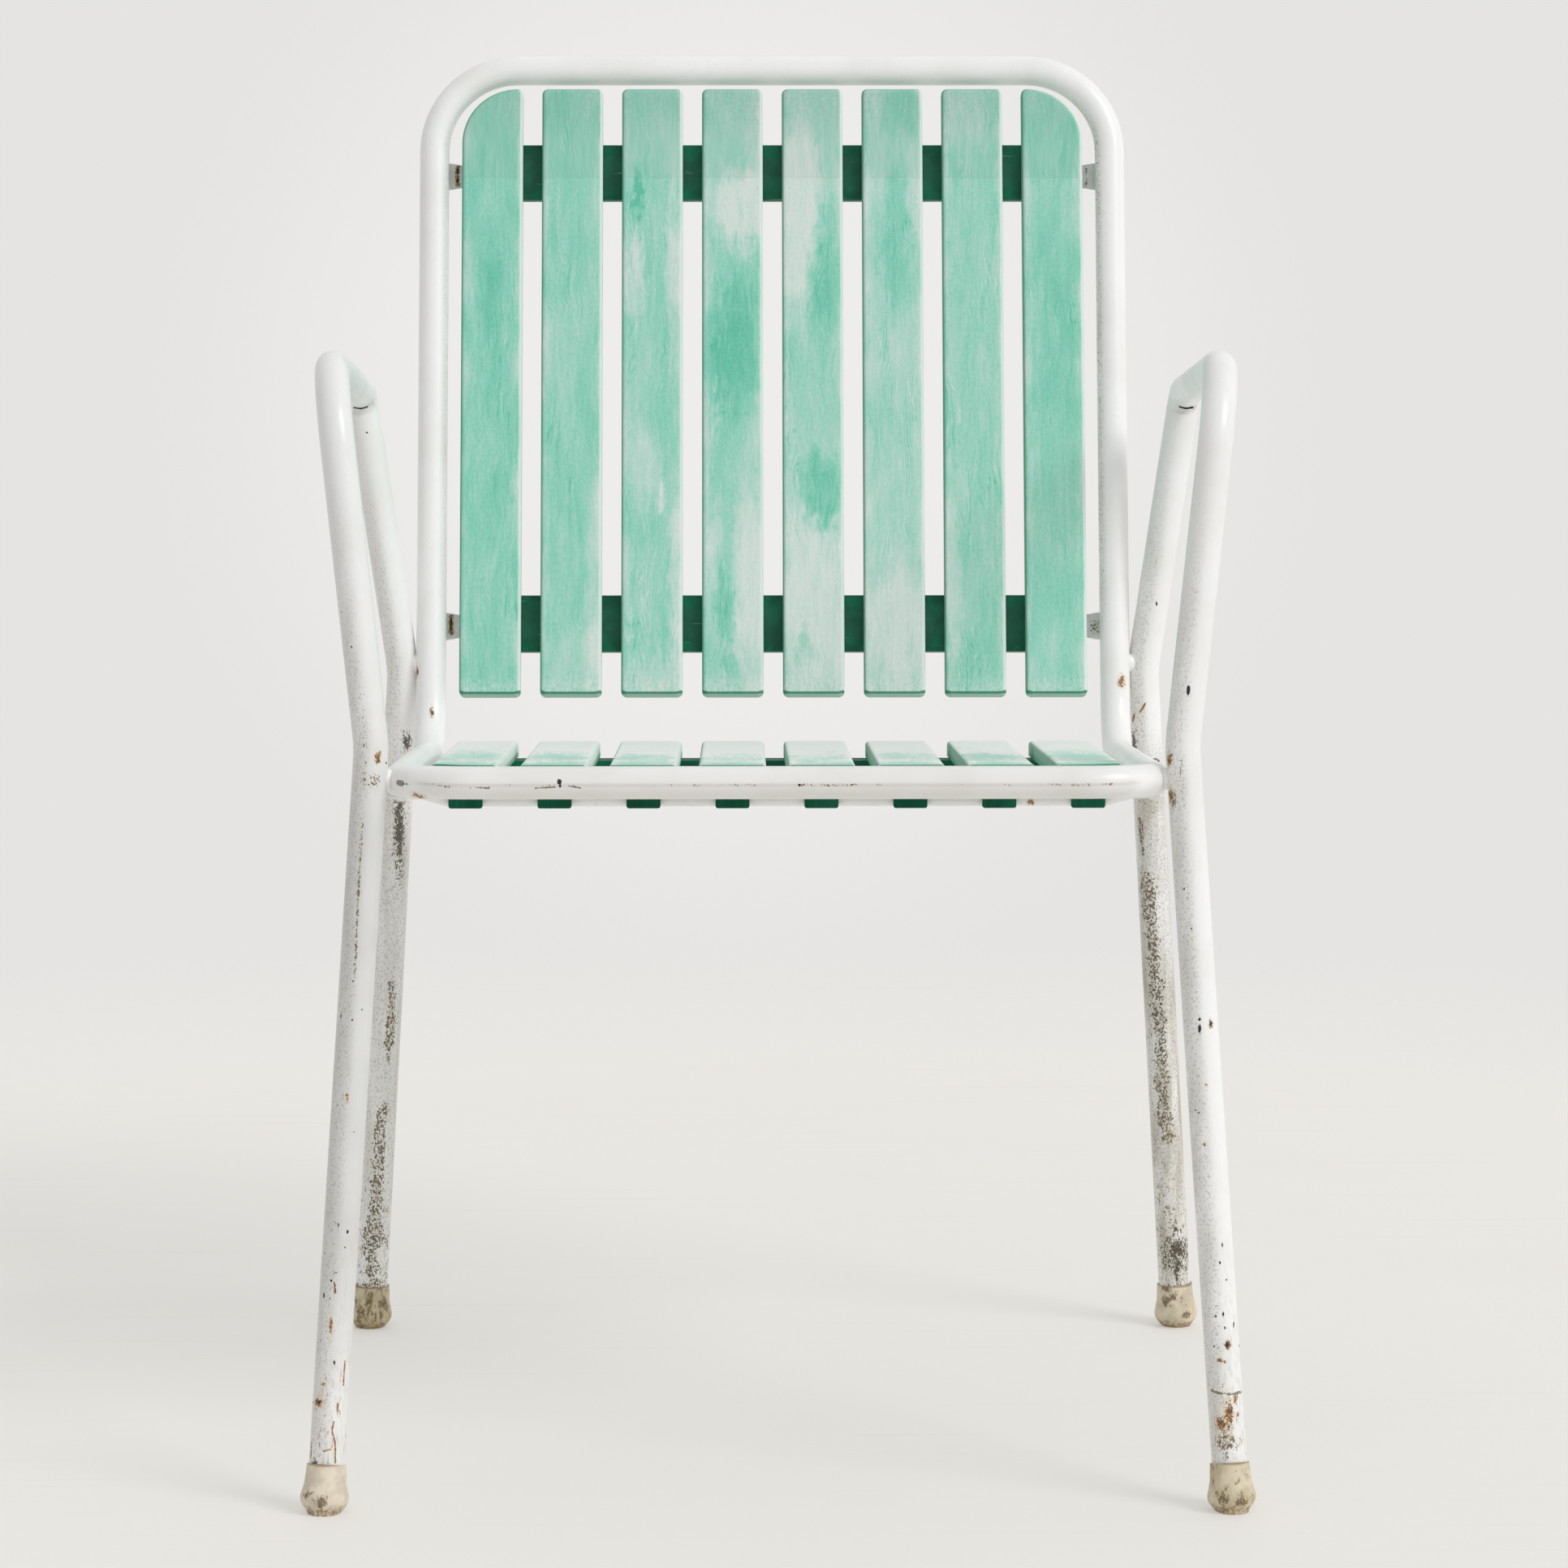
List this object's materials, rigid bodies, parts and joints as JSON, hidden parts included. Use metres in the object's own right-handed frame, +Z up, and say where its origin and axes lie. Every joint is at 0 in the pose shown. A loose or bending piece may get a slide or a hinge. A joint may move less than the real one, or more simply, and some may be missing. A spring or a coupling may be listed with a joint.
{
  "type": "stacking garden armchair",
  "caption": "Stacking garden armchair: bent white steel tube side loops and frame, with mint-green plastic slats on the seat and back and rubber ferrules on the legs.",
  "frame": {"origin": "on the floor, under the middle of the bounding box", "axes": "+Z up, the chair faces -Y, +X to the right of someone who looks at its front"},
  "size_m": [0.5818, 0.6316, 0.8631],
  "materials": {
    "white_paint": "satin white paint on steel tube, worn, with rust at welds and feet",
    "slat_plastic": "mint-green moulded plastic with a wood-grain face, bleached by the sun",
    "rail_plastic": "dark green moulded plastic, unbleached",
    "rubber": "dirty off-white rubber"
  },
  "bodies": {
    "root": {"back_lower_cross_tube": "white_paint", "back_lower_rail": "rail_plastic", "back_slat_1": "slat_plastic", "back_slat_2": "slat_plastic", "back_slat_3": "slat_plastic", "back_slat_4": "slat_plastic", "back_slat_5": "slat_plastic", "back_slat_6": "slat_plastic", "back_slat_7": "slat_plastic", "back_slat_8": "slat_plastic", "back_upper_cross_tube": "white_paint", "back_upper_rail": "rail_plastic", "cross_tube_welds": "white_paint", "front_left_foot": "rubber", "front_right_foot": "rubber", "left_side_tube": "white_paint", "leg_welds": "white_paint", "rear_left_foot": "rubber", "rear_right_foot": "rubber", "right_side_tube": "white_paint", "seat_back_frame": "white_paint", "seat_front_cross_tube": "white_paint", "seat_front_rail": "rail_plastic", "seat_rear_cross_tube": "white_paint", "seat_rear_rail": "rail_plastic", "seat_slat_1": "slat_plastic", "seat_slat_2": "slat_plastic", "seat_slat_3": "slat_plastic", "seat_slat_4": "slat_plastic", "seat_slat_5": "slat_plastic", "seat_slat_6": "slat_plastic", "seat_slat_7": "slat_plastic", "seat_slat_8": "slat_plastic"}
  },
  "joints": []
}
